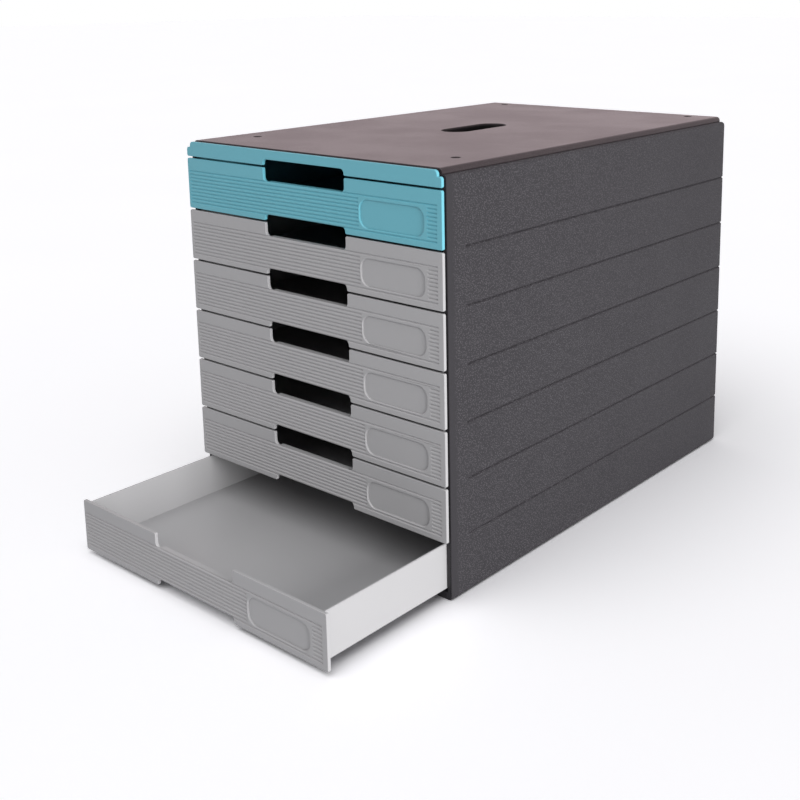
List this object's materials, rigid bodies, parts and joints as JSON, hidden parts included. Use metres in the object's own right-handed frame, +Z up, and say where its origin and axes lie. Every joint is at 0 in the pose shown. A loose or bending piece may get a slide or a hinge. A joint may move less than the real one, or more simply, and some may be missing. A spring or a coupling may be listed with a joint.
{
  "type": "desktop drawer cabinet",
  "caption": "Desktop filing box for A4 and C4 paper: a closed dark casing with a handle slot on top and shallow drawers with ribbed, finger-notched fronts that slide out.",
  "frame": {"origin": "on the table, under the centre of the closed box's footprint", "axes": "+Z up, drawers open towards -Y, +X to the right seen from the front"},
  "size_m": [0.25, 0.4725, 0.288],
  "materials": {
    "casing_plastic": "charcoal moulded plastic, pebbled grain",
    "teal_plastic": "teal moulded plastic, satin",
    "grey_plastic": "light grey moulded plastic, satin",
    "pad_rubber": "black rubber"
  },
  "bodies": {
    "casing": {"side_panel_left": "casing_plastic", "side_panel_right": "casing_plastic", "top_panel": "casing_plastic", "base_panel": "casing_plastic", "back_panel": "casing_plastic", "top_fascia": "teal_plastic", "foot_front_left": "pad_rubber", "foot_front_right": "pad_rubber", "foot_rear_left": "pad_rubber", "foot_rear_right": "pad_rubber"},
    "drawer_1": {"drawer_1": "teal_plastic"},
    "drawer_2": {"drawer_2": "grey_plastic"},
    "drawer_3": {"drawer_3": "grey_plastic"},
    "drawer_4": {"drawer_4": "grey_plastic"},
    "drawer_5": {"drawer_5": "grey_plastic"},
    "drawer_6": {"drawer_6": "grey_plastic"},
    "drawer_7": {"drawer_7": "grey_plastic"}
  },
  "joints": [
    {"name": "drawer_1_slide", "type": "slide", "parent": "casing", "child": "drawer_1", "axis": [0, -1, 0], "range_m": [0, 0.25]},
    {"name": "drawer_2_slide", "type": "slide", "parent": "casing", "child": "drawer_2", "axis": [0, -1, 0], "range_m": [0, 0.25]},
    {"name": "drawer_3_slide", "type": "slide", "parent": "casing", "child": "drawer_3", "axis": [0, -1, 0], "range_m": [0, 0.25]},
    {"name": "drawer_4_slide", "type": "slide", "parent": "casing", "child": "drawer_4", "axis": [0, -1, 0], "range_m": [0, 0.25]},
    {"name": "drawer_5_slide", "type": "slide", "parent": "casing", "child": "drawer_5", "axis": [0, -1, 0], "range_m": [0, 0.25]},
    {"name": "drawer_6_slide", "type": "slide", "parent": "casing", "child": "drawer_6", "axis": [0, -1, 0], "range_m": [0, 0.25]},
    {"name": "drawer_7_slide", "type": "slide", "parent": "casing", "child": "drawer_7", "axis": [0, -1, 0], "range_m": [-0.1075, 0.1425]}
  ]
}
